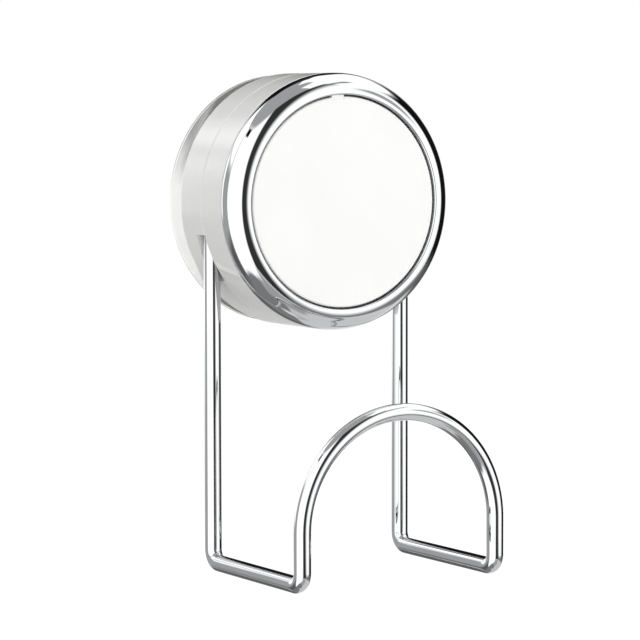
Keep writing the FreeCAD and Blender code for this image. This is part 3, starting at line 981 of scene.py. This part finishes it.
@dataclass
class Studio:
    """A pale floor, a white backdrop, soft lamps, and the cards that the chrome mirrors.

    Lengths are in metres. The cards are laid out in cells of so many degrees, on a sphere round
    the middle, and directions are counted from back_angle, where the camera stands.
    """

    floor_height: float = -1.6
    floor_half: float = 14.0
    floor_colour: str = "ECECEA"
    floor_roughness: float = 0.8
    floor_lift: float = 0.45
    card_distance: float = 1.55
    layer_step: float = 0.03
    cell: float = 3.0
    back_angle: float = -31.0
    middle: tuple[float, float, float] = (0.0, -0.03, -0.03)
    fill: float = 0.7
    # Each row has the card's tone, its left, right, low and high edge, its layer and its feather.
    cards: tuple[Card, ...] = (
        Card("zenith", Tone.GREY, -181, 181, 50, 90, 0, 0),
        Card("ground", Tone.SHADE, -181, 181, -89, -42, 0, 10),
        Card("ground_right", Tone.PALE, 20, 190, -89, -30, 1, 14),
        Card("main_softbox", Tone.WHITE, -83, 11, -52, 56, 2, 7),
        Card("ground_corner", Tone.GREY, 0, 56, -66, -31, 3, 8),
        Card("ground_step", Tone.GREY, -14, 8, -66, -41, 5, 7),
        Card("main_corner_flag", Tone.BLACK, -78, -48, 45, 53, 3, 2),
        Card("second_softbox", Tone.BRIGHT, -138, -85, 21, 52, 2, 4),
        Card("left_grey", Tone.GREY, -126, -66, -30, 22, 1, 6),
        Card("left_charcoal", Tone.CHARCOAL, -134, -74, -58, -14, 2, 14),
        Card("left_flag", Tone.BLACK, -182, -138, 26, 60, 3, 6),
        Card("left_flag_foot", Tone.BLACK, -188, -152, 8, 42, 5, 7),
        Card("rear_flag", Tone.DARK, -194, -163, -6, 52, 4, 8),
        Card("rear_softbox", Tone.WHITE, -166, -118, -8, 21, 2, 5),
        Card("rear_grey", Tone.GREY, -181, -112, -34, -4, 0, 6),
        Card("rear_charcoal", Tone.CHARCOAL, -184, -128, -56, -22, 1, 10),
        Card("band_flag", Tone.DARK, 8, 72, -34, 58, 2, 4),
        Card("band_foot", Tone.SHADE, 44, 118, -38, -14, 3, 6),
        Card("round_softbox", Tone.WHITE, 30, 108, -31, 53, 4, 19, Outline.ROUND),
        Card("band_flag_tip", Tone.SHADE, 62, 92, 45, 55, 5, 4),
        Card("small_flag", Tone.GREY, 64, 88, 8, 30, 5, 7, Outline.ROUND),
        Card("right_flag", Tone.BLACK, 95, 162, -20, 38, 5, 7),
        Card("right_charcoal", Tone.CHARCOAL, 96, 172, -32, -8, 3, 8),
        Card("right_grey", Tone.GREY, 140, 184, -14, 30, 1, 6),
        Card("overhead_softbox", Tone.WHITE, 52, 190, 33, 79, 1, 4),
        Card("cup_flag_low", Tone.CHARCOAL, 120, 240, -16, -1.2, 0, 2, seen_in=SeenIn.CLEAR_CUP),
        Card("cup_flag_high", Tone.CHARCOAL, 120, 240, 1.4, 60, 0, 3, seen_in=SeenIn.CLEAR_CUP),
    )
    lamps: tuple[Lamp, ...] = (
        Lamp("front_lamp", azimuth=34.0, elevation=8.0, distance=1.8, side=1.2, watts=13.3),
        Lamp("top_lamp", azimuth=-60.0, elevation=72.0, distance=1.8, side=1.2, watts=4.8),
    )

    def direction(self, azimuth: float, elevation: float) -> Vector:
        """The direction of a place round the object.

        Args:
            azimuth: Its direction round the object from the camera's back, in degrees.
            elevation: Its height above the horizon, in degrees.

        Returns:
            The unit vector from the object to the place.
        """
        turn = math.radians(self.back_angle)
        back = Vector((math.sin(turn), -math.cos(turn), 0))
        side = Vector((math.cos(turn), math.sin(turn), 0))
        around, rise = math.radians(azimuth), math.radians(elevation)
        level = back * math.cos(around) + side * math.sin(around)
        return level * math.cos(rise) + Vector((0, 0, math.sin(rise)))

    def card_form(self, card: Card) -> bmesh.types.BMesh:
        """Lay out a card's curved sheet, with its span as texture coordinates from nought to one.

        Args:
            card: The card, for its edges and its layer.

        Returns:
            The card's form, in metres.
        """
        form = bmesh.new()
        distance = self.card_distance - card.layer * self.layer_step
        columns = max(1, math.ceil((card.right - card.left) / self.cell))
        rows = max(1, math.ceil((card.high - card.low) / self.cell))
        grid = []
        for row in range(rows + 1):
            elevation = card.low + (card.high - card.low) * row / rows
            line = []
            for column in range(columns + 1):
                azimuth = card.left + (card.right - card.left) * column / columns
                spot = Vector(self.middle) + self.direction(azimuth, elevation) * distance
                line.append(form.verts.new(spot))
            grid.append(line)
        layer = form.loops.layers.uv.new("span")
        for row, (lower, upper) in enumerate(zip(grid, grid[1:])):
            for column in range(columns):
                after = column + 1
                face = form.faces.new((lower[column], lower[after], upper[after], upper[column]))
                spots = ((column, row), (after, row), (after, row + 1), (column, row + 1))
                for loop, spot in zip(face.loops, spots):
                    loop[layer].uv = (spot[0] / columns, spot[1] / rows)
        return form

    def make_card(self, card: Card) -> None:
        """Make one card as a curved sheet that only mirrors or clear things see.

        Args:
            card: The card.
        """
        sheet = finished(card.name, self.card_form(card), NO_CREASE)
        sheet.data.materials.append(self.card_material(card))
        sheet.visible_camera = False
        sheet.visible_diffuse = False
        sheet.visible_glossy = card.seen_in is SeenIn.MIRRORS
        sheet.visible_transmission = card.seen_in is SeenIn.CLEAR_CUP
        sheet.visible_shadow = False

    def card_material(self, card: Card) -> bpy.types.Material:
        """Make a card's even glow, which fades out towards its edges.

        Args:
            card: The card, for its tone, edges and feather.

        Returns:
            The material.
        """
        material = bpy.data.materials.new(card.name)
        tree = empty_tree(material)
        glow = add_node(tree, "ShaderNodeEmission", inputs={
            "Color": grey(1.0), "Strength": card.tone.value})
        if not card.feather:
            add_node(tree, "ShaderNodeOutputMaterial", inputs={"Surface": glow.outputs["Emission"]})
            return material
        if card.outline is Outline.ROUND:
            cover = self.round_cover(tree, card)
        else:
            cover = self.square_cover(tree, card)
        clear = add_node(tree, "ShaderNodeBsdfTransparent")
        mix = add_node(tree, "ShaderNodeMixShader", inputs={
            0: cover, 1: clear.outputs[0], 2: glow.outputs[0]})
        add_node(tree, "ShaderNodeOutputMaterial", inputs={"Surface": mix.outputs[0]})
        return material

    def square_cover(self, tree: bpy.types.NodeTree, card: Card) -> bpy.types.NodeSocket:
        """One inside a square card, falling to nought along each of its four edges.

        Args:
            tree: The card's node tree.
            card: The card, for its edges and feather.

        Returns:
            The socket that holds the cover.
        """
        span = add_node(tree, "ShaderNodeUVMap", {"uv_map": "span"})
        split = add_node(tree, "ShaderNodeSeparateXYZ", inputs={"Vector": span.outputs["UV"]})
        fades = []
        for axis, width in (("X", card.right - card.left), ("Y", card.high - card.low)):
            inward = add_node(tree, "ShaderNodeMath", {"operation": "PINGPONG"},
                              {0: split.outputs[axis], 1: 0.5})
            fade = add_node(tree, "ShaderNodeMapRange", {"interpolation_type": "SMOOTHSTEP"},
                            {"Value": inward.outputs[0], "From Max": card.feather / width})
            fades.append(fade.outputs["Result"])
        cover = add_node(tree, "ShaderNodeMath", {"operation": "MULTIPLY"},
                         {0: fades[0], 1: fades[1]})
        return cover.outputs[0]

    def round_cover(self, tree: bpy.types.NodeTree, card: Card) -> bpy.types.NodeSocket:
        """One inside a round card, falling to nought towards its rim.

        Args:
            tree: The card's node tree.
            card: The card, for its width and feather.

        Returns:
            The socket that holds the cover.
        """
        span = add_node(tree, "ShaderNodeUVMap", {"uv_map": "span"})
        offset = add_node(tree, "ShaderNodeVectorMath", {"operation": "DISTANCE"},
                          {0: span.outputs["UV"], 1: (0.5, 0.5, 0.0)})
        fade = add_node(tree, "ShaderNodeMapRange", {"interpolation_type": "SMOOTHSTEP"}, {
            "Value": offset.outputs["Value"], "From Min": 0.5,
            "From Max": 0.5 - card.feather / (card.right - card.left)})
        return fade.outputs["Result"]

    def shown_rays(self, tree: bpy.types.NodeTree) -> bpy.types.NodeSocket:
        """One where a ray comes from the camera, a mirror or glass, and nought elsewhere.

        Args:
            tree: The tree that gets the nodes.

        Returns:
            The socket that holds the value.
        """
        path = add_node(tree, "ShaderNodeLightPath")
        seen = add_node(tree, "ShaderNodeMath", {"operation": "MAXIMUM"},
                        {0: path.outputs["Is Camera Ray"], 1: path.outputs["Is Glossy Ray"]})
        both = add_node(tree, "ShaderNodeMath", {"operation": "MAXIMUM"},
                        {0: seen.outputs[0], 1: path.outputs["Is Transmission Ray"]})
        return both.outputs[0]

    def make_world(self) -> None:
        """Make the backdrop: plain white where it is seen, and a soft fill where it lights."""
        world = bpy.data.worlds.new("studio")
        bpy.context.scene.world = world
        tree = empty_tree(world)
        soft, white = [add_node(tree, "ShaderNodeBackground", inputs={
            "Color": grey(1.0), "Strength": strength}) for strength in (self.fill, 1.0)]
        mix = add_node(tree, "ShaderNodeMixShader", inputs={
            0: self.shown_rays(tree), 1: soft.outputs[0], 2: white.outputs[0]})
        add_node(tree, "ShaderNodeOutputWorld", inputs={"Surface": mix.outputs[0]})

    def make_floor(self) -> None:
        """Make the pale floor, which keeps the object's shadow and looks as white as the rest."""
        form = bmesh.new()
        half = self.floor_half
        corners = [(-half, -half), (half, -half), (half, half), (-half, half)]
        form.faces.new([form.verts.new((x, y, self.floor_height)) for x, y in corners])
        floor = finished("floor", form, NO_CREASE)
        material, tree, shader = new_material("pale_floor")
        shader.inputs["Base Color"].default_value = linear_colour(self.floor_colour)
        shader.inputs["Roughness"].default_value = self.floor_roughness
        shader.inputs["Emission Color"].default_value = grey(1.0)
        lift = add_node(tree, "ShaderNodeMath", {"operation": "MULTIPLY"},
                        {0: self.shown_rays(tree), 1: self.floor_lift})
        tree.links.new(lift.outputs[0], shader.inputs["Emission Strength"])
        floor.data.materials.append(material)

    def add_lamp(self, lamp: Lamp) -> None:
        """Add a lamp that lights the object and isn't mirrored in it.

        Args:
            lamp: The lamp.
        """
        light = bpy.data.lights.new(lamp.name, "AREA")
        light.size = lamp.side
        light.energy = lamp.watts
        obj = add_object(lamp.name, light)
        way = self.direction(lamp.azimuth, lamp.elevation)
        obj.location = Vector(self.middle) + way * lamp.distance
        obj.rotation_euler = way.to_track_quat("Z", "Y").to_euler()
        obj.visible_glossy = False

    def build(self) -> None:
        """Make the whole studio."""
        self.make_world()
        self.make_floor()
        for card in self.cards:
            self.make_card(card)
        for lamp in self.lamps:
            self.add_lamp(lamp)
        LOG.info("studio built")


@dataclass
class PhotoCamera:
    """The camera at the photograph's place, found by fitting the object's edges to it.

    The angles are in degrees and the place and clip_start in metres.
    """

    azimuth: float = -31.0
    elevation: float = 4.43
    roll: float = -0.099
    place: tuple[float, float, float] = (-0.3560, -0.6126, 0.0248)
    clip_start: float = 0.01
    focal_px: float = 2875.4
    picture_px: float = 640.0
    sensor_mm: float = 36.0

    def build(self) -> None:
        """Make the camera and set it as the scene's own."""
        camera = bpy.data.cameras.new("photo_camera")
        camera.sensor_width = self.sensor_mm
        camera.lens = self.focal_px * self.sensor_mm / self.picture_px
        camera.clip_start = self.clip_start
        turn, rise, roll = [math.radians(a) for a in (self.azimuth, self.elevation, self.roll)]
        reach = math.cos(rise)
        back = Vector((math.sin(turn) * reach, -math.cos(turn) * reach, math.sin(rise)))
        right = (-back).cross(Vector((0, 0, 1))).normalized()
        up = right.cross(-back)
        level = right * math.cos(roll) + up * math.sin(roll)
        upright = up * math.cos(roll) - right * math.sin(roll)
        obj = add_object("photo_camera", camera)
        turned_frame = Matrix((level, upright, back)).transposed().to_4x4()
        obj.matrix_world = Matrix.Translation(self.place) @ turned_frame
        bpy.context.scene.camera = obj
        LOG.info("camera placed")


def main() -> None:
    """Build the camera, the pieces and the studio in order."""
    logging.basicConfig(level=logging.INFO, format="%(name)s: %(message)s")
    made: Materials = {}
    PhotoCamera().build()
    SuctionCup().build(made)
    WireHook().build(made)
    KnobRing().build(made)
    FaceDisc().build(made)
    CarriedParts().build(made)
    Studio().build()
    bpy.context.scene.view_settings.view_transform = "Standard"


if __name__ == "__main__":
    main()
